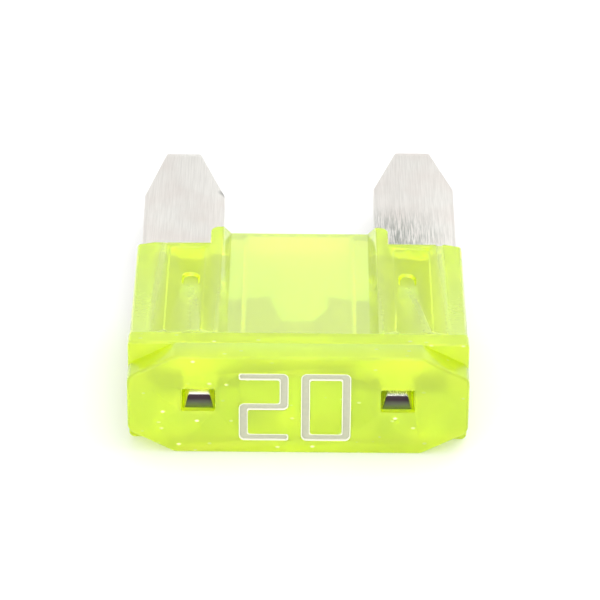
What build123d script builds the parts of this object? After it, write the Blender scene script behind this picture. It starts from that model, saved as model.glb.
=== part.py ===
from build123d import *
import os

# A mini-size automotive blade fuse, lying on one broad face.
# Sub-parts are drawn in a moulding frame: +Y runs from the end face of the head to the tips of
# the blades, Z is zero at half the thickness, and X is zero half way between the blades.
# They are written in the part's own frame: the origin is under the middle of the part, on the
# surface it lies on, with +Y towards the blade tips and +Z up. All sizes are millimetres.

# Overall
WIDTH = 10.9
THICKNESS = 3.6
LENGTH = 16.5

# Head: a cap with slanted corners, in front of a flange with square corners
CAP_DEPTH = 0.87
CAP_SLANT_X = 1.5
CAP_SLANT_Z = 0.8
CAP_BLEND = 0.35
CAP_EDGE = 0.10
FLANGE_END = 1.57
FLANGE_CORNER = 0.18
FLANGE_EDGE = 0.08

# Body: two side columns and a longer middle part
BODY_WIDTH = 10.86
BODY_THICKNESS = 3.4
COLUMN_END = 7.5
MIDDLE_END = 8.6
MIDDLE_HALF_WIDTH = 2.98
MIDDLE_CORNER = 0.3
SIDE_STRIP_X = 4.85
SIDE_STRIP_DROP = 0.1
SIDE_CORNER = 0.15
COLUMN_EDGE = 0.06

# Thin recessed window in the middle part, on both broad faces
WINDOW_TOP_HALF_WIDTH = 2.57
WINDOW_FLOOR_HALF_WIDTH = 2.3
WINDOW_DEPTH = 0.28

# Shallow panel in each column, on both broad faces
PANEL_INNER_X = 3.15
PANEL_OUTER_X = 4.3
PANEL_START = 1.8
PANEL_END = 7.15
PANEL_DEPTH = 0.035
PANEL_SLOPE = 55
PANEL_CORNER = 0.15

# Stake: a tapered punch mark on each face, and the plastic pushed through the blade under it
STAKE_X = 3.56
STAKE_Y = 5.1
STAKE_MARK_WIDTH = 0.62
STAKE_MARK_LENGTH = 0.95
STAKE_MARK_DEPTH = 0.15
STAKE_MARK_TAPER = 25
STAKE_PLUG_RADIUS = 0.5

# Metal stamping: blades, shoulders, link and test tabs
METAL_THICKNESS = 0.8
BLADE_OUTER_X = 5.35
BLADE_INNER_X = 2.55
TIP_OUTER_X = 4.48
TIP_INNER_X = 3.26
TIP_BEVEL_LENGTH = 0.4
TIP_BEVEL_DEPTH = 0.1
BLADE_EDGE_BEVEL = 0.1
LEDGE_Y = 7.54
HELD_OUTER_X = 4.8
HELD_START = 2.4
HOLE_RADIUS = 0.55
TAB_X = 3.16
TAB_TOP_WIDTH = 0.64
TAB_BOTTOM_WIDTH = 1.0
TAB_START = 0.24
TAB_TOP_ROUND = 0.25
SHOULDER_OUTER_Y = 4.65
SHOULDER_TIP_Y = 5.05
GAP_FAR_HALF_WIDTH = 1.0
GAP_NEAR_HALF_WIDTH = 0.6
SHOULDER_CORNER = 0.3
LINK_FAR_Y = 3.6
LINK_NEAR_Y = 2.9
LINK_THICKNESS = 0.28

# The two blades differ a little, as the press and handling left them: where the taper starts,
# where the tip ends, how far each is spread outwards, and how the gap's side is bowed
LEFT_BLADE = {"taper_y": 13.2, "tip_y": 16.3, "taper_spread": 0.09, "tip_spread": 0.3, "gap_bow": 0.02}
RIGHT_BLADE = {"taper_y": 13.8, "tip_y": LENGTH, "taper_spread": 0.04, "tip_spread": 0.14, "gap_bow": 0.16}

# Room for the stamping inside the moulding
CLEARANCE = 0.05
CHAMBER_HALF_WIDTH = 1.9
CHAMBER_HALF_HEIGHT = 0.9
CHAMBER_START = 2.0

# Test windows in the end face
TEST_WINDOW_X = 3.19
TEST_WINDOW_WIDTH = 1.1
TEST_WINDOW_BOTTOM = -0.215
TEST_WINDOW_TOP = 0.61
TEST_SKIN = 0.2

# Rating number: sunk digits lined with a thin film of foil
DIGIT_TOP_Z = 1.20
DIGIT_BOTTOM_Z = -1.34
DIGIT_STROKE_LEVEL = 0.27
DIGIT_STROKE_UPRIGHT = 0.31
DIGIT_BAR_Z = -0.05
DIGIT_DEPTH = 0.15
DIGIT_OUTER_BLEND = 0.2
DIGIT_INNER_BLEND = 0.08
FOIL_THICKNESS = 0.035
FOIL_GAP = 0.01
TWO_LEFT_X = -1.90
TWO_RIGHT_X = -0.29
ZERO_LEFT_X = 0.085
ZERO_RIGHT_X = 1.70

# Flash: two small beads of plastic on the far edges of the columns
RIGHT_BEAD_X = 4.68
RIGHT_BEAD_RADIUS = 0.16
LEFT_BEAD_X = -4.45
LEFT_BEAD_RADIUS = 0.09


def along_y(face, start, end):
    """A bar with its section drawn in X and Z, between two stations along Y."""
    placed = Pos(0, start, 0) * (Plane.XZ * face)
    return extrude(placed, amount=end - start, dir=(0, 1, 0))


def block(x_range, y_range, z_range):
    """A rectangular block between two limits on each axis."""
    size = [high - low for low, high in (x_range, y_range, z_range)]
    middle = [(high + low) / 2 for low, high in (x_range, y_range, z_range)]
    return Pos(*middle) * Box(*size)


def both_sides(shape):
    """A shape with its mirror image across the middle plane X = 0."""
    return [shape, mirror(shape, about=Plane.YZ)]


def both_faces(shape):
    """A shape with its mirror image across the half-thickness plane Z = 0."""
    return [shape, mirror(shape, about=Plane.XY)]


def mirrored_outline(quarter):
    """A closed outline in X and Z from the points of its upper right quarter, top first."""
    right = quarter + [(x, -z) for x, z in reversed(quarter)]
    left = [(-x, z) for x, z in reversed(right)]
    return make_face(Polyline(*right, *left, close=True))


def cap():
    """The front of the head, with four slanted corners and an eased front edge."""
    side = WIDTH / 2
    top = THICKNESS / 2
    outline = mirrored_outline([(side - CAP_SLANT_X, top), (side, top - CAP_SLANT_Z)])
    outline = fillet(outline.vertices(), CAP_BLEND)
    solid = along_y(outline, 0, CAP_DEPTH)
    front_edges = solid.edges().filter_by_position(Axis.Y, -0.01, 0.01)
    return fillet(front_edges, CAP_EDGE)


def flange():
    """The full rectangle behind the cap, which stands proud of the body."""
    outline = RectangleRounded(WIDTH, THICKNESS, FLANGE_CORNER)
    solid = along_y(outline, CAP_DEPTH, FLANGE_END)
    rims = solid.edges().filter_by_position(Axis.Y, CAP_DEPTH, FLANGE_END)
    end_edges = rims.filter_by(lambda edge: abs(edge.bounding_box().size.Y) < 0.01)
    return fillet(end_edges, FLANGE_EDGE)


def columns():
    """The body section over the blades, with a sloping strip along each outer side."""
    side = BODY_WIDTH / 2
    top = BODY_THICKNESS / 2
    outline = mirrored_outline([(SIDE_STRIP_X, top), (side, top - SIDE_STRIP_DROP)])
    corners = [v for v in outline.vertices() if abs(v.X) > SIDE_STRIP_X + 0.1]
    outline = fillet(corners, SIDE_CORNER)
    solid = along_y(outline, FLANGE_END - 0.1, COLUMN_END)
    end_edges = solid.edges().filter_by_position(Axis.Y, COLUMN_END - 0.01, COLUMN_END + 0.01)
    return fillet(end_edges, COLUMN_EDGE)


def middle_part():
    """The middle of the body, which runs on past the columns between the blades."""
    top = BODY_THICKNESS / 2
    solid = block((-MIDDLE_HALF_WIDTH, MIDDLE_HALF_WIDTH), (FLANGE_END - 0.1, MIDDLE_END), (-top, top))
    end_corners = solid.edges().filter_by(Axis.Z).sort_by(Axis.Y)[-2:]
    solid = fillet(end_corners, MIDDLE_CORNER)
    end_edges = solid.edges().filter_by_position(Axis.Z, top - 0.01, top + 0.01)
    end_edges += solid.edges().filter_by_position(Axis.Z, -top - 0.01, -top + 0.01)
    return fillet(end_edges, COLUMN_EDGE)


def recessed_windows():
    """The two sloping-sided cuts that thin the middle part, one from each broad face."""
    top = BODY_THICKNESS / 2
    floor = top - WINDOW_DEPTH
    outline = Polygon(
        (-WINDOW_FLOOR_HALF_WIDTH, floor),
        (WINDOW_FLOOR_HALF_WIDTH, floor),
        (WINDOW_TOP_HALF_WIDTH, top),
        (WINDOW_TOP_HALF_WIDTH, THICKNESS / 2),
        (-WINDOW_TOP_HALF_WIDTH, THICKNESS / 2),
        (-WINDOW_TOP_HALF_WIDTH, top),
        align=None,
    )
    return both_faces(along_y(outline, FLANGE_END, LENGTH))


def column_panels():
    """Four shallow cuts with rounded corners, two on each broad face."""
    middle_x = (PANEL_INNER_X + PANEL_OUTER_X) / 2
    middle_y = (PANEL_START + PANEL_END) / 2
    outline = RectangleRounded(PANEL_OUTER_X - PANEL_INNER_X, PANEL_END - PANEL_START, PANEL_CORNER)
    floor = BODY_THICKNESS / 2 - PANEL_DEPTH
    cut = extrude(Pos(middle_x, middle_y, floor) * outline, amount=2 * PANEL_DEPTH, taper=-PANEL_SLOPE)
    return [copy for side in both_sides(cut) for copy in both_faces(side)]


def stake_marks():
    """Four tapered punch marks, two on each broad face."""
    top = BODY_THICKNESS / 2
    outline = SlotOverall(STAKE_MARK_LENGTH, STAKE_MARK_WIDTH, rotation=90)
    punch = extrude(
        Pos(STAKE_X, STAKE_Y, top) * outline, amount=-STAKE_MARK_DEPTH, taper=STAKE_MARK_TAPER
    )
    return [copy for side in both_sides(punch) for copy in both_faces(side)]


def stake_plugs():
    """The two posts of plastic pushed through the holes of the blades."""
    post = Pos(STAKE_X, STAKE_Y, 0) * Cylinder(STAKE_PLUG_RADIUS, METAL_THICKNESS + 4 * CLEARANCE)
    return both_sides(post)


def blade_slots():
    """Open room for the stamping: a thin slot all across, the link chamber and the tab slots."""
    half_slot = METAL_THICKNESS / 2 + CLEARANCE
    held_x = HELD_OUTER_X + CLEARANCE
    slot = block((-held_x, held_x), (HELD_START - CLEARANCE, LENGTH), (-half_slot, half_slot))
    chamber = block(
        (-CHAMBER_HALF_WIDTH, CHAMBER_HALF_WIDTH),
        (CHAMBER_START, LENGTH),
        (-CHAMBER_HALF_HEIGHT, CHAMBER_HALF_HEIGHT),
    )
    chamber_edges = chamber.edges().filter_by(Axis.Y)
    chamber = fillet(chamber_edges, 0.25)
    half_tab = TAB_BOTTOM_WIDTH / 2 + CLEARANCE
    tab_slot = block(
        (TAB_X - half_tab, TAB_X + half_tab),
        (TEST_SKIN, HELD_START),
        (-half_slot, TEST_WINDOW_TOP),
    )
    return [slot, chamber] + both_sides(tab_slot)


def test_windows():
    """The two openings in the end face over the test tabs."""
    half_width = TEST_WINDOW_WIDTH / 2
    hole = block(
        (TEST_WINDOW_X - half_width, TEST_WINDOW_X + half_width),
        (-0.1, TEST_SKIN + 0.01),
        (TEST_WINDOW_BOTTOM, TEST_WINDOW_TOP),
    )
    corners = hole.edges().filter_by(Axis.Y)
    return both_sides(fillet(corners, 0.06))


def rounded_at(face, points, radius):
    """A flat face with its corners rounded at the given points of its outline."""
    corners = [
        v for v in face.vertices() if any(abs(v.X - x) + abs(v.Y - y) < 0.01 for x, y in points)
    ]
    return fillet(corners, radius)


def two_face(inset):
    """The figure 2 drawn in X and Z, with its edges moved in by the inset."""
    left = TWO_LEFT_X + inset
    right = TWO_RIGHT_X - inset
    top = DIGIT_TOP_Z - inset
    bottom = DIGIT_BOTTOM_Z + inset
    level = DIGIT_STROKE_LEVEL - 2 * inset
    upright = DIGIT_STROKE_UPRIGHT - 2 * inset
    bar_top = DIGIT_BAR_Z + level / 2
    bar_bottom = DIGIT_BAR_Z - level / 2
    outer_turns = [(right, top), (right, bar_bottom), (left, bottom), (left, bar_top)]
    inner_turns = [
        (left + upright, bar_bottom),
        (left + upright, bottom + level),
        (right - upright, bar_top),
        (right - upright, top - level),
    ]
    stroke_ends = [(left, top), (left, top - level), (right, bottom + level), (right, bottom)]
    outline = Polyline(
        *stroke_ends[1::-1],
        *outer_turns[:2],
        *inner_turns[:2],
        *stroke_ends[2:],
        *outer_turns[2:],
        *inner_turns[2:],
        close=True,
    )
    face = rounded_at(make_face(outline), outer_turns, DIGIT_OUTER_BLEND - inset)
    return rounded_at(face, inner_turns + stroke_ends, DIGIT_INNER_BLEND)


def zero_face(inset):
    """The figure 0 drawn in X and Z, with its edges moved in by the inset."""
    width = ZERO_RIGHT_X - ZERO_LEFT_X - 2 * inset
    height = DIGIT_TOP_Z - DIGIT_BOTTOM_Z - 2 * inset
    hole_width = ZERO_RIGHT_X - ZERO_LEFT_X - 2 * (DIGIT_STROKE_UPRIGHT - inset)
    hole_height = DIGIT_TOP_Z - DIGIT_BOTTOM_Z - 2 * (DIGIT_STROKE_LEVEL - inset)
    outer = RectangleRounded(width, height, DIGIT_OUTER_BLEND - inset)
    hole = RectangleRounded(hole_width, hole_height, DIGIT_INNER_BLEND)
    middle = ((ZERO_LEFT_X + ZERO_RIGHT_X) / 2, (DIGIT_TOP_Z + DIGIT_BOTTOM_Z) / 2)
    return Pos(*middle) * (outer - hole)


def digits(start, end, inset):
    """The number 20 as two solids between two stations along Y."""
    return [along_y(face, start, end) for face in (two_face(inset), zero_face(inset))]


def flash_beads():
    """The two beads of flash at the top far edges of the columns."""
    top = BODY_THICKNESS / 2
    right = Pos(RIGHT_BEAD_X, COLUMN_END, top - RIGHT_BEAD_RADIUS / 2) * Sphere(RIGHT_BEAD_RADIUS)
    left = Pos(LEFT_BEAD_X, COLUMN_END, top - LEFT_BEAD_RADIUS / 2) * Sphere(LEFT_BEAD_RADIUS)
    return [right, left]


def housing():
    """The clear yellow moulding."""
    body = cap() + flange() + columns() + middle_part()
    body = body - recessed_windows() - column_panels() - stake_marks()
    body = body - blade_slots() - test_windows()
    body = body + stake_plugs() + flash_beads()
    # The cut starts in front of the end face, so that it leaves no skin.
    return body - digits(-CAP_DEPTH, DIGIT_DEPTH, 0)


def half_outline(taper_y, tip_y, taper_spread, tip_spread, gap_bow):
    """Half of the stamping in X and Y: shoulder and blade, with the gap's side bowed in."""
    gap_near = (GAP_NEAR_HALF_WIDTH, LINK_FAR_Y)
    gap_far = (GAP_FAR_HALF_WIDTH, SHOULDER_TIP_Y)
    gap_middle = (
        (GAP_NEAR_HALF_WIDTH + GAP_FAR_HALF_WIDTH) / 2 + gap_bow,
        (LINK_FAR_Y + SHOULDER_TIP_Y) / 2 - gap_bow / 2,
    )
    gap_side = ThreePointArc(gap_near, gap_middle, gap_far)
    rest = Polyline(
        gap_far,
        (BLADE_INNER_X - SHOULDER_CORNER, SHOULDER_OUTER_Y),
        (BLADE_INNER_X, SHOULDER_OUTER_Y + SHOULDER_CORNER),
        (BLADE_INNER_X + taper_spread, taper_y),
        (TIP_INNER_X + tip_spread, tip_y),
        (TIP_OUTER_X + tip_spread, tip_y),
        (BLADE_OUTER_X + taper_spread, taper_y),
        (BLADE_OUTER_X, LEDGE_Y),
        (HELD_OUTER_X, LEDGE_Y),
        (HELD_OUTER_X, HELD_START),
        (TAB_X - TAB_BOTTOM_WIDTH / 2, HELD_START),
        (GAP_NEAR_HALF_WIDTH, LINK_NEAR_Y),
        gap_near,
    )
    return make_face([gap_side, rest])


def tip_bevel(side, tip_y):
    """The wedge of metal pressed away from one broad face at a blade's tip."""
    half = METAL_THICKNESS / 2
    wedge = Polyline(
        (tip_y - TIP_BEVEL_LENGTH, side * half),
        (tip_y, side * (half - TIP_BEVEL_DEPTH)),
        (tip_y, side * half),
        close=True,
    )
    return extrude(Plane.YZ * make_face(wedge), amount=WIDTH)


def test_tab():
    """The tab that reaches a test window, sheared narrower at its top, with a rounded top edge."""
    half = METAL_THICKNESS / 2
    section = Polygon(
        (TAB_X - TAB_BOTTOM_WIDTH / 2, -half),
        (TAB_X + TAB_BOTTOM_WIDTH / 2, -half),
        (TAB_X + TAB_TOP_WIDTH / 2, half),
        (TAB_X - TAB_TOP_WIDTH / 2, half),
        align=None,
    )
    bar = along_y(section, TAB_START, HELD_START + METAL_THICKNESS)
    front_edges = bar.edges().filter_by(Axis.X).sort_by(Axis.Y)[:2]
    return fillet(front_edges.sort_by(Axis.Z)[-1:], TAB_TOP_ROUND)


def half_stamping(blade):
    """One blade with its shoulder and test tab, bevelled where the real edges are broken."""
    half = METAL_THICKNESS / 2
    tip_y = blade["tip_y"]
    outline = half_outline(**blade)
    solid = extrude(Pos(0, 0, -half) * outline, amount=METAL_THICKNESS)
    broad_edges = solid.edges().filter_by(Plane.XY)
    blade_edges = broad_edges.filter_by(lambda edge: LEDGE_Y + 1 < edge.center().Y < tip_y - 0.1)
    solid = chamfer(blade_edges, BLADE_EDGE_BEVEL)
    for side in (1, -1):
        solid = solid - tip_bevel(side, tip_y)
    hole = Pos(STAKE_X, STAKE_Y, 0) * Cylinder(HOLE_RADIUS, 2 * METAL_THICKNESS)
    return solid + test_tab() - hole


def link():
    """The thin coined strip that melts, between the two shoulders."""
    reach = GAP_NEAR_HALF_WIDTH + 0.2
    half = LINK_THICKNESS / 2
    return block((-reach, reach), (LINK_NEAR_Y, LINK_FAR_Y), (-half, half))


def fuse_element():
    """The metal stamping, one solid."""
    left = mirror(half_stamping(LEFT_BLADE), about=Plane.YZ)
    return half_stamping(RIGHT_BLADE) + left + link()


def rating_foil():
    """The pale film that lines the sunk digits, a hair's breadth clear of the plastic."""
    back = DIGIT_DEPTH - FOIL_GAP
    outside = digits(FOIL_GAP, back, FOIL_GAP)
    room = digits(-CAP_DEPTH, back - FOIL_THICKNESS, FOIL_GAP + FOIL_THICKNESS)
    return [film - gap for film, gap in zip(outside, room)]


def write_node(name, solids):
    """Move a sub-part's solids to the part's own frame and write them as one STEP."""
    to_part_frame = Pos(0, -LENGTH / 2, THICKNESS / 2)
    placed = [to_part_frame * solid for solid in solids]
    export_step(Compound(children=placed), f"parts/{name}.step")


os.makedirs("parts", exist_ok=True)
write_node("housing", [housing()])
write_node("fuse_element", [fuse_element()])
write_node("rating_foil", rating_foil())
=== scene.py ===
"""A mini-size automotive blade fuse: clear yellow moulding, plated metal stamping, foil number."""

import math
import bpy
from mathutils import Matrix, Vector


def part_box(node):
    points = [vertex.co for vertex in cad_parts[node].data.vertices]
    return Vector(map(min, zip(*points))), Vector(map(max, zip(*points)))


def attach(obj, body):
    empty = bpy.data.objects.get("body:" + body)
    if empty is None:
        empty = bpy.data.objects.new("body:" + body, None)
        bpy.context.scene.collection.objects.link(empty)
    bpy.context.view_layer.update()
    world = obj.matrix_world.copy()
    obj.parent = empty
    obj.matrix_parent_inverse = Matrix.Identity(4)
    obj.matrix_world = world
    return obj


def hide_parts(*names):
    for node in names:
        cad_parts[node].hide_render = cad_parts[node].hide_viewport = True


bl_info = {
    "name": "Blade Fuse",
    "version": (1, 0, 0),
    "blender": (4, 5, 0),
    "location": "View3D > Sidebar > Blade Fuse",
    "description": "Builds the visible pieces, finishes and stage of a mini-size blade fuse",
    "category": "Object",
}

import bpy
from bpy.props import FloatProperty, FloatVectorProperty, PointerProperty
from mathutils import Matrix, Vector

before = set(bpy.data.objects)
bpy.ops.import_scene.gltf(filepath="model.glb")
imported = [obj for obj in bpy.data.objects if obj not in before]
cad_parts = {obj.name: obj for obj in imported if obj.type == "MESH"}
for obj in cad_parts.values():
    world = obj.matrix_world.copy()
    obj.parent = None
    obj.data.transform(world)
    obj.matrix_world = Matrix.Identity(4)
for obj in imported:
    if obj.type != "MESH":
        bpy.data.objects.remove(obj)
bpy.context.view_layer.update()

MM = 0.001
BODY = "root"
HOUSING_LOW, HOUSING_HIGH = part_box("housing")
ELEMENT_LOW, ELEMENT_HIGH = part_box("fuse_element")
FOIL_LOW, FOIL_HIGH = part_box("rating_foil")
MID_Z = (ELEMENT_LOW.z + ELEMENT_HIGH.z) / 2

# Stations along the fuse that the finishes follow
HEAD_BACK = HOUSING_LOW.y + 1.6 * MM
COLUMN_BACK = HOUSING_HIGH.y - 1.1 * MM
NICK_PLACE = (-2.6, ELEMENT_HIGH.y / MM - 3.2, ELEMENT_HIGH.z / MM)
# Spacing of the painted glint specks in the head, in millimetres
GLINT_SPECK_SPACING = 0.32


def linear(code):
    """An sRGB hex colour as linear red, green, blue and alpha."""
    channels = [int(code[i:i + 2], 16) / 255 for i in (0, 2, 4)]
    curved = [c / 12.92 if c <= 0.04045 else ((c + 0.055) / 1.055) ** 2.4 for c in channels]
    return (*curved, 1.0)


# ---------------------------------------------------------------- settings


class FuseSizes(bpy.types.PropertyGroup):
    """Sizes of the finishing details, which the construction leaves plain."""

    moulded_edge: FloatProperty(
        name="Moulded edge",
        description="Width of the tiny round that a mould leaves on every plastic edge",
        default=0.035 * MM,
        unit="LENGTH",
    )
    stamped_edge: FloatProperty(
        name="Stamped edge",
        description="Width of the roll-over that stamping and plating leave on the metal's edges",
        default=0.045 * MM,
        unit="LENGTH",
    )
    foil_edge: FloatProperty(
        name="Foil edge",
        description="Width of the soft edge of the pressed foil",
        default=0.012 * MM,
        unit="LENGTH",
    )


class FuseColours(bpy.types.PropertyGroup):
    """Colours of the pieces and of the stage."""

    plastic: FloatVectorProperty(
        name="Plastic",
        description="Surface colour of the clear yellow moulding",
        default=linear("E9F920"),
        size=4,
        subtype="COLOR",
        min=0,
        max=1,
    )
    plastic_pale: FloatVectorProperty(
        name="Pale plastic",
        description="Paler tone that the moulding drifts to along its flow lines",
        default=linear("F0FC3C"),
        size=4,
        subtype="COLOR",
        min=0,
        max=1,
    )
    plastic_depth: FloatVectorProperty(
        name="Plastic depth",
        description="Colour that light keeps on its way through the moulding",
        default=linear("FAFE40"),
        size=4,
        subtype="COLOR",
        min=0,
        max=1,
    )
    # Painted glow: colour of the even emission that brightens the moulding and stands for the dye's fluorescence
    fluorescence_painted_glow: FloatVectorProperty(
        name="Fluorescence",
        description="Colour of the light that the dye gives back",
        default=linear("DAFF00"),
        size=4,
        subtype="COLOR",
        min=0,
        max=1,
    )
    metal: FloatVectorProperty(
        name="Metal",
        description="Colour of the plated zinc",
        default=linear("E8E6E1"),
        size=4,
        subtype="COLOR",
        min=0,
        max=1,
    )
    foil: FloatVectorProperty(
        name="Foil",
        description="Colour of the pale film in the number",
        default=linear("C9C9B2"),
        size=4,
        subtype="COLOR",
        min=0,
        max=1,
    )
    floor: FloatVectorProperty(
        name="Floor",
        description="Colour of the pale surface that the fuse lies on",
        default=linear("E8E8E8"),
        size=4,
        subtype="COLOR",
        min=0,
        max=1,
    )


# ---------------------------------------------------------------- shader helpers


def add(tree, kind, inputs=None, **settings):
    """Add a shader node with its settings, and set or link its inputs by name or number."""
    made = tree.nodes.new(kind)
    for name, value in settings.items():
        setattr(made, name, value)
    for name, value in (inputs or {}).items():
        socket = made.inputs[name]
        if isinstance(value, bpy.types.NodeSocket):
            tree.links.new(value, socket)
        else:
            socket.default_value = value
    return made


def new_material(name):
    """An empty node material and the shared millimetre coordinates of its piece."""
    material = bpy.data.materials.new(name)
    material.use_nodes = True
    tree = material.node_tree
    tree.nodes.clear()
    place = add(tree, "ShaderNodeTexCoord").outputs["Object"]
    in_mm = add(tree, "ShaderNodeMapping", {"Vector": place, "Scale": (1 / MM,) * 3})
    return material, tree, in_mm.outputs[0]


def clear_plastic(colours):
    """Injection-moulded polycarbonate, dyed fluorescent yellow, with a gloss from the mould.

    The dye and the thick walls scatter light, so the inside is seen softly, as through haze. The
    dye also gives back blue light as yellow, which a faint even emission, a painted glow that
    shines without any lamp and brightens the moulding, stands for.
    Small white, mirror-like specks in the head are painted glints: highlights set into the surface.
    """
    material, tree, place = new_material("moulded_clear_polycarbonate")
    axes = add(tree, "ShaderNodeSeparateXYZ", {"Vector": place}).outputs
    drawn_out = add(tree, "ShaderNodeMapping", {"Vector": place, "Scale": (0.6, 1.0, 1.0)}).outputs[0]
    # Painted glints: sparse specks in the head, whitened and made mirror-like below so they shine as highlights
    cells = add(tree, "ShaderNodeTexVoronoi", {"Vector": drawn_out, "Scale": 1 / GLINT_SPECK_SPACING}).outputs
    glint_speck = add(tree, "ShaderNodeMapRange", {
        "Value": cells["Distance"], "From Min": 0.17, "From Max": 0.06,
    })
    chance = add(tree, "ShaderNodeSeparateColor", {"Color": cells["Color"]}).outputs[0]
    chosen = add(tree, "ShaderNodeMapRange", {"Value": chance, "From Min": 0.4, "From Max": 0.75})
    in_head = add(tree, "ShaderNodeMapRange", {
        "Value": axes["Y"], "From Min": HEAD_BACK / MM + 0.2, "From Max": HEAD_BACK / MM - 0.3,
    })
    glint_speck = add(tree, "ShaderNodeMath", {0: glint_speck.outputs[0], 1: chosen.outputs[0]}, operation="MULTIPLY")
    glint_speck = add(tree, "ShaderNodeMath", {0: glint_speck.outputs[0], 1: in_head.outputs[0]}, operation="MULTIPLY")

    flow = add(tree, "ShaderNodeTexNoise", {"Vector": place, "Scale": 0.7, "Detail": 2.0}).outputs[0]
    tone = add(tree, "ShaderNodeMix", {0: flow, 6: colours.plastic, 7: colours.plastic_pale}, data_type="RGBA")
    # Painted highlight: the glint specks are whitened
    tone = add(tree, "ShaderNodeMix", {
        0: glint_speck.outputs[0], 6: tone.outputs[2], 7: linear("FFFFE0"),
    }, data_type="RGBA")

    grain = add(tree, "ShaderNodeTexNoise", {"Vector": place, "Scale": 5.0, "Detail": 4.0}).outputs[0]
    bump = add(tree, "ShaderNodeBump", {"Height": grain, "Strength": 0.12, "Distance": 0.05 * MM})
    bump = add(tree, "ShaderNodeBump", {
        "Height": glint_speck.outputs[0], "Strength": 0.3, "Distance": 0.04 * MM, "Normal": bump.outputs[0],
    })
    haze = add(tree, "ShaderNodeMapRange", {"Value": in_head.outputs[0], "To Min": 0.15, "To Max": 0.36})
    shader = add(tree, "ShaderNodeBsdfPrincipled", {
        "Base Color": tone.outputs[2],
        # Painted highlight: the glint specks are made mirror metal so they shine
        "Metallic": glint_speck.outputs[0],
        "Roughness": haze.outputs[0],
        "IOR": 1.58,
        "Transmission Weight": 0.84,
        "Subsurface Weight": 1.0,
        "Subsurface Radius": (1.0, 1.0, 0.35),
        "Subsurface Scale": 0.8 * MM,
        "Coat Weight": 0.5,
        "Coat Roughness": 0.08,
        # Painted glow: an even emission that shines without any lamp, standing for the dye's fluorescence
        "Emission Color": colours.fluorescence_painted_glow,
        "Emission Strength": 0.11,
        "Normal": bump.outputs[0],
    })
    depth = add(tree, "ShaderNodeVolumeAbsorption", {"Color": colours.plastic_depth, "Density": 220.0})
    add(tree, "ShaderNodeOutputMaterial", {"Surface": shader.outputs[0], "Volume": depth.outputs[0]})
    return material


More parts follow.
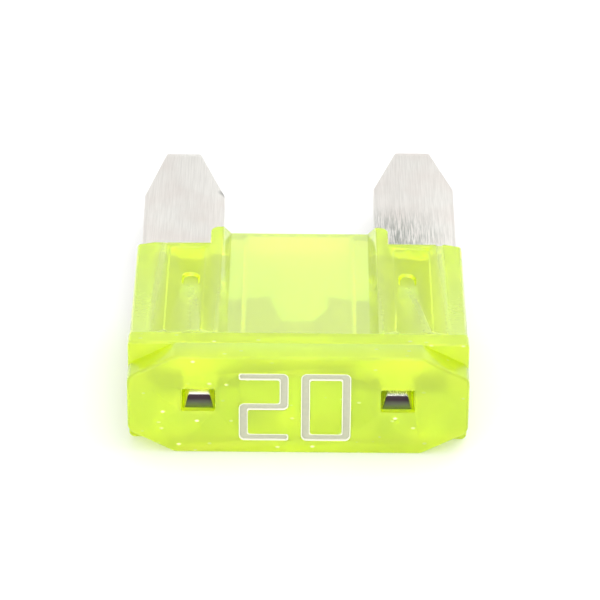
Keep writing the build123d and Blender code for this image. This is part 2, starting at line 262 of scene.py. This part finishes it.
def plated_zinc(colours):
    """Rolled zinc strip, stamped and tin plated: satin, with fine rolling lines along its length.

    Inside the moulding the zinc is darkened as painted shade, and the fronts of the test tabs carry
    painted shade, dark at the top and lighter grey-green at the bottom, as painted light from the
    plastic. One blade carries grey-green oxide streaks beside the moulding, and the other a
    nick at its shoulder.
    """
    material, tree, place = new_material("plated_zinc_strip")
    axes = add(tree, "ShaderNodeSeparateXYZ", {"Vector": place}).outputs
    along = add(tree, "ShaderNodeMapping", {"Vector": place, "Scale": (13.0, 0.5, 13.0)}).outputs[0]
    lines = add(tree, "ShaderNodeTexNoise", {"Vector": along, "Scale": 1.6, "Detail": 5.0}).outputs[0]
    line_shade = add(tree, "ShaderNodeMapRange", {
        "Value": lines, "From Min": 0.35, "From Max": 0.65, "To Max": 0.4,
    })
    tone = add(tree, "ShaderNodeMix", {
        0: line_shade.outputs[0], 6: colours.metal, 7: linear("CAC8C2"),
    }, data_type="RGBA")

    blotches = add(tree, "ShaderNodeTexNoise", {"Vector": place, "Scale": 0.6, "Detail": 3.0}).outputs[0]
    blotch = add(tree, "ShaderNodeMapRange", {
        "Value": blotches, "From Min": 0.4, "From Max": 0.7, "To Max": 0.5,
    })
    tone = add(tree, "ShaderNodeMix", {
        0: blotch.outputs[0], 6: tone.outputs[2], 7: linear("DCD2CC"),
    }, data_type="RGBA")
    # Painted shade: the zinc inside the moulding is darkened
    painted_shade_inside = add(tree, "ShaderNodeMath", {
        0: axes["Y"], 1: (HEAD_BACK + COLUMN_BACK) / 2 / MM, 2: (COLUMN_BACK - HEAD_BACK) / 2 / MM,
    }, operation="COMPARE")
    tone = add(tree, "ShaderNodeMix", {
        0: painted_shade_inside.outputs[0], 6: tone.outputs[2], 7: linear("9C9E90"),
    }, data_type="RGBA")

    near_housing = add(tree, "ShaderNodeMapRange", {
        "Value": axes["Y"], "From Min": COLUMN_BACK / MM + 5.0, "From Max": COLUMN_BACK / MM + 2.4,
    })
    inner_half = add(tree, "ShaderNodeMapRange", {"Value": axes["X"], "From Min": 5.4, "From Max": 3.5})
    right_blade = add(tree, "ShaderNodeMath", {0: axes["X"], 1: 2.0}, operation="GREATER_THAN")
    zone = add(tree, "ShaderNodeMath", {0: near_housing.outputs[0], 1: inner_half.outputs[0]}, operation="MULTIPLY")
    zone = add(tree, "ShaderNodeMath", {0: zone.outputs[0], 1: right_blade.outputs[0]}, operation="MULTIPLY")
    streaks = add(tree, "ShaderNodeTexNoise", {"Vector": along, "Scale": 3.2, "Detail": 6.0}).outputs[0]
    oxide = add(tree, "ShaderNodeMapRange", {"Value": streaks, "From Min": 0.42, "From Max": 0.6, "To Max": 0.85})
    oxide = add(tree, "ShaderNodeMath", {0: oxide.outputs[0], 1: zone.outputs[0]}, operation="MULTIPLY")
    tone = add(tree, "ShaderNodeMix", {
        0: oxide.outputs[0], 6: tone.outputs[2], 7: linear("66736A"),
    }, data_type="RGBA")

    from_nick = add(tree, "ShaderNodeVectorMath", {0: place, 1: NICK_PLACE}, operation="DISTANCE")
    nick = add(tree, "ShaderNodeMapRange", {
        "Value": from_nick.outputs["Value"], "From Min": 0.3, "From Max": 0.1, "To Max": 0.8,
    })
    tone = add(tree, "ShaderNodeMix", {0: nick.outputs[0], 6: tone.outputs[2], 7: linear("6A6A66")}, data_type="RGBA")
    # Painted shade and light: the test tab fronts are dark at the top and lighter grey-green towards the bottom
    sheared = add(tree, "ShaderNodeMath", {0: axes["Y"], 1: ELEMENT_LOW.y / MM + 0.02}, operation="LESS_THAN")
    shade_up_the_tab_front = add(tree, "ShaderNodeMapRange", {
        "Value": axes["Z"], "From Min": ELEMENT_LOW.z / MM + 0.2, "From Max": ELEMENT_LOW.z / MM + 0.5,
    })
    painted_tab_front_shade = add(tree, "ShaderNodeMix", {
        0: shade_up_the_tab_front.outputs[0], 6: linear("8A9484"), 7: linear("42363E"),
    }, data_type="RGBA")
    tone = add(tree, "ShaderNodeMix", {
        0: sheared.outputs[0], 6: tone.outputs[2], 7: painted_tab_front_shade.outputs[2],
    }, data_type="RGBA")

    bump = add(tree, "ShaderNodeBump", {"Height": lines, "Strength": 0.3, "Distance": 0.02 * MM})
    shader = add(tree, "ShaderNodeBsdfPrincipled", {
        "Base Color": tone.outputs[2],
        "Metallic": 1.0,
        "Roughness": 0.46,
        "Normal": bump.outputs[0],
    })
    add(tree, "ShaderNodeOutputMaterial", {"Surface": shader.outputs[0]})
    return material


def pale_foil(colours):
    """Hot-stamped foil: a pale satin film, wrinkled where it was pressed in, with a painted highlight that whitens
    its walls.
    """
    material, tree, place = new_material("hot_stamped_foil")
    axes = add(tree, "ShaderNodeSeparateXYZ", {"Vector": place}).outputs
    on_floor = add(tree, "ShaderNodeMapRange", {
        "Value": axes["Y"], "From Min": FOIL_HIGH.y / MM - 0.07, "From Max": FOIL_HIGH.y / MM - 0.04,
    })
    grain = add(tree, "ShaderNodeTexNoise", {"Vector": place, "Scale": 9.0, "Detail": 4.0}).outputs[0]
    tone = add(tree, "ShaderNodeMix", {0: grain, 6: colours.foil, 7: linear("B8BAA6")}, data_type="RGBA")
    # Painted highlight: the foil's walls, in front of its floor, are whitened as if catching the light
    tone = add(tree, "ShaderNodeMix", {
        0: on_floor.outputs[0], 6: linear("F6F6E6"), 7: tone.outputs[2],
    }, data_type="RGBA")
    bump = add(tree, "ShaderNodeBump", {"Height": grain, "Strength": 0.4, "Distance": 0.02 * MM})
    shader = add(tree, "ShaderNodeBsdfPrincipled", {
        "Base Color": tone.outputs[2],
        "Roughness": 0.38,
        "Normal": bump.outputs[0],
    })
    add(tree, "ShaderNodeOutputMaterial", {"Surface": shader.outputs[0]})
    return material


# ---------------------------------------------------------------- modelling helpers


def deselect_everything():
    """Leave object mode with nothing selected, so that an operator acts on one piece only."""
    if bpy.context.object and bpy.context.object.mode != "OBJECT":
        bpy.ops.object.mode_set(mode="OBJECT")
    bpy.ops.object.select_all(action="DESELECT")


def make_active(piece):
    """Select one piece alone and make it the one that operators act on."""
    deselect_everything()
    piece.select_set(True)
    bpy.context.view_layer.objects.active = piece


def merged_copy(node, name):
    """A copy of a construction node's mesh, with its loose triangles joined into whole faces."""
    piece = bpy.data.objects.new(name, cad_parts[node].data.copy())
    bpy.context.scene.collection.objects.link(piece)
    piece.data.materials.clear()
    make_active(piece)
    bpy.ops.mesh.customdata_custom_splitnormals_clear()
    bpy.ops.object.mode_set(mode="EDIT")
    bpy.ops.mesh.select_all(action="SELECT")
    bpy.ops.mesh.remove_doubles(threshold=0.0002 * MM)
    bpy.ops.mesh.dissolve_limited(angle_limit=math.radians(0.5))
    bpy.ops.object.mode_set(mode="OBJECT")
    return piece


def round_edges(piece, width, segments=2):
    """Round a piece's sharp edges by a small width, and shade it smooth up to 40 degrees."""
    make_active(piece)
    bevel = piece.modifiers.new("edges", "BEVEL")
    bevel.width = width
    bevel.segments = segments
    bevel.limit_method = "ANGLE"
    bevel.angle_limit = math.radians(35)
    bevel.use_clamp_overlap = True
    bpy.ops.object.modifier_apply(modifier=bevel.name)
    bpy.ops.object.shade_smooth_by_angle(angle=math.radians(40))


def finish_piece(piece, material, slot, *replaced):
    """Give a piece its material, hang it on the fuse's body, and hide the construction nodes it replaces."""
    piece.data.materials.append(material)
    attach(piece, BODY)
    if replaced:
        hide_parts(*replaced)


# ---------------------------------------------------------------- operators


class FUSE_OT_housing(bpy.types.Operator):
    """Make the clear yellow moulding, with every edge rounded as a mould leaves it"""

    bl_idname = "fuse.housing"
    bl_label = "Housing"

    def execute(self, context):
        piece = merged_copy("housing", "housing_moulding")
        round_edges(piece, context.scene.fuse_sizes.moulded_edge)
        finish_piece(piece, clear_plastic(context.scene.fuse_colours), "clear_yellow_plastic", "housing")
        return {"FINISHED"}


class FUSE_OT_element(bpy.types.Operator):
    """Make the plated stamping, with rolled-over edges"""

    bl_idname = "fuse.element"
    bl_label = "Fuse element"

    def execute(self, context):
        piece = merged_copy("fuse_element", "fuse_element_stamping")
        round_edges(piece, context.scene.fuse_sizes.stamped_edge)
        finish_piece(piece, plated_zinc(context.scene.fuse_colours), "plated_zinc", "fuse_element")
        return {"FINISHED"}


class FUSE_OT_foil(bpy.types.Operator):
    """Make the pale film in the sunk number"""

    bl_idname = "fuse.foil"
    bl_label = "Rating foil"

    def execute(self, context):
        piece = merged_copy("rating_foil", "rating_foil_film")
        round_edges(piece, context.scene.fuse_sizes.foil_edge, 1)
        finish_piece(piece, pale_foil(context.scene.fuse_colours), "pale_foil", "rating_foil")
        return {"FINISHED"}


def add_lamp(name, place, aim, size, power):
    """A square area lamp at a place, turned towards a point."""
    data = bpy.data.lights.new(name, "AREA")
    data.shape = "SQUARE"
    data.size = size
    data.energy = power
    lamp = bpy.data.objects.new(name, data)
    lamp.location = place
    lamp.rotation_euler = (Vector(aim) - Vector(place)).to_track_quat("-Z", "Y").to_euler()
    bpy.context.scene.collection.objects.link(lamp)
    return lamp


class FUSE_OT_stage(bpy.types.Operator):
    """Make the pale floor, the soft light and the camera"""

    bl_idname = "fuse.stage"
    bl_label = "Stage"

    def execute(self, context):
        scene = context.scene
        deselect_everything()
        bpy.ops.mesh.primitive_plane_add(size=3.0, location=(0, 0, 0))
        floor = context.object
        floor.name = "floor"
        material = bpy.data.materials.new("pale_floor")
        material.use_nodes = True
        tree = material.node_tree
        tree.nodes.clear()
        diffuse = add(tree, "ShaderNodeBsdfDiffuse", {"Color": scene.fuse_colours.floor})
        path = add(tree, "ShaderNodeLightPath")
        seen = add(tree, "ShaderNodeMath", {0: path.outputs["Is Camera Ray"], 1: path.outputs["Is Glossy Ray"]},
                   operation="MAXIMUM")
        seen = add(tree, "ShaderNodeMath", {0: seen.outputs[0], 1: path.outputs["Is Transmission Ray"]},
                   operation="MAXIMUM")
        glow = add(tree, "ShaderNodeMath", {0: seen.outputs[0], 1: 0.1}, operation="MULTIPLY")
        emission = add(tree, "ShaderNodeEmission", {"Strength": glow.outputs[0]})
        both = add(tree, "ShaderNodeAddShader", {0: diffuse.outputs[0], 1: emission.outputs[0]})
        add(tree, "ShaderNodeOutputMaterial", {"Surface": both.outputs[0]})
        floor.data.materials.append(material)

        world = bpy.data.worlds.new("studio")
        scene.world = world
        world.use_nodes = True
        tree = world.node_tree
        tree.nodes.clear()
        path = add(tree, "ShaderNodeLightPath")
        soft = add(tree, "ShaderNodeBackground", {"Color": linear("FFFFFF"), "Strength": 1.0})
        white = add(tree, "ShaderNodeBackground", {"Color": linear("FFFFFF"), "Strength": 1.0})
        mixed = add(tree, "ShaderNodeMixShader", {
            0: path.outputs["Is Camera Ray"], 1: soft.outputs[0], 2: white.outputs[0],
        })
        add(tree, "ShaderNodeOutputWorld", {"Surface": mixed.outputs[0]})

        add_lamp("key_lamp", (0.10, 0.05, 0.30), (0, 0, 0), 0.30, 0.4)
        add_lamp("fill_lamp", (-0.06, -0.28, 0.16), (0, 0, 0), 0.35, 0.42)

        data = bpy.data.cameras.new("camera")
        data.lens = 207.0
        data.sensor_width = 36.0
        data.clip_start = 0.01
        data.dof.use_dof = False
        camera = bpy.data.objects.new("camera", data)
        scene.collection.objects.link(camera)
        head_face = Vector((0.035 * MM, HOUSING_LOW.y, MID_Z))
        distance = 110 * MM
        rise = math.radians(32.5)
        camera.location = head_face + distance * Vector((0, -math.cos(rise), math.sin(rise)))
        aimed = Matrix.Rotation(math.radians(90 - 30.74), 3, "X")
        leaned = aimed @ Matrix.Rotation(math.radians(0.5), 3, "Z")
        camera.rotation_euler = leaned.to_euler()
        scene.camera = camera
        scene.view_settings.view_transform = "Standard"
        return {"FINISHED"}


class FUSE_PT_panel(bpy.types.Panel):
    """Sidebar panel with the fuse's settings and steps"""

    bl_idname = "FUSE_PT_panel"
    bl_label = "Blade Fuse"
    bl_space_type = "VIEW_3D"
    bl_region_type = "UI"
    bl_category = "Blade Fuse"

    def draw(self, context):
        for group in (context.scene.fuse_sizes, context.scene.fuse_colours):
            for name in group.__annotations__:
                self.layout.prop(group, name)
        for step in STEPS:
            self.layout.operator(step.bl_idname)


STEPS = (FUSE_OT_housing, FUSE_OT_element, FUSE_OT_foil, FUSE_OT_stage)
CLASSES = (FuseSizes, FuseColours, *STEPS, FUSE_PT_panel)


def register():
    for cls in CLASSES:
        bpy.utils.register_class(cls)
    bpy.types.Scene.fuse_sizes = PointerProperty(type=FuseSizes)
    bpy.types.Scene.fuse_colours = PointerProperty(type=FuseColours)


def unregister():
    del bpy.types.Scene.fuse_colours
    del bpy.types.Scene.fuse_sizes
    for cls in reversed(CLASSES):
        bpy.utils.unregister_class(cls)


def main():
    """Register the add-on, and make every piece and the stage."""
    register()
    bpy.ops.fuse.housing()
    bpy.ops.fuse.element()
    bpy.ops.fuse.foil()
    bpy.ops.fuse.stage()


if __name__ == "__main__":
    main()
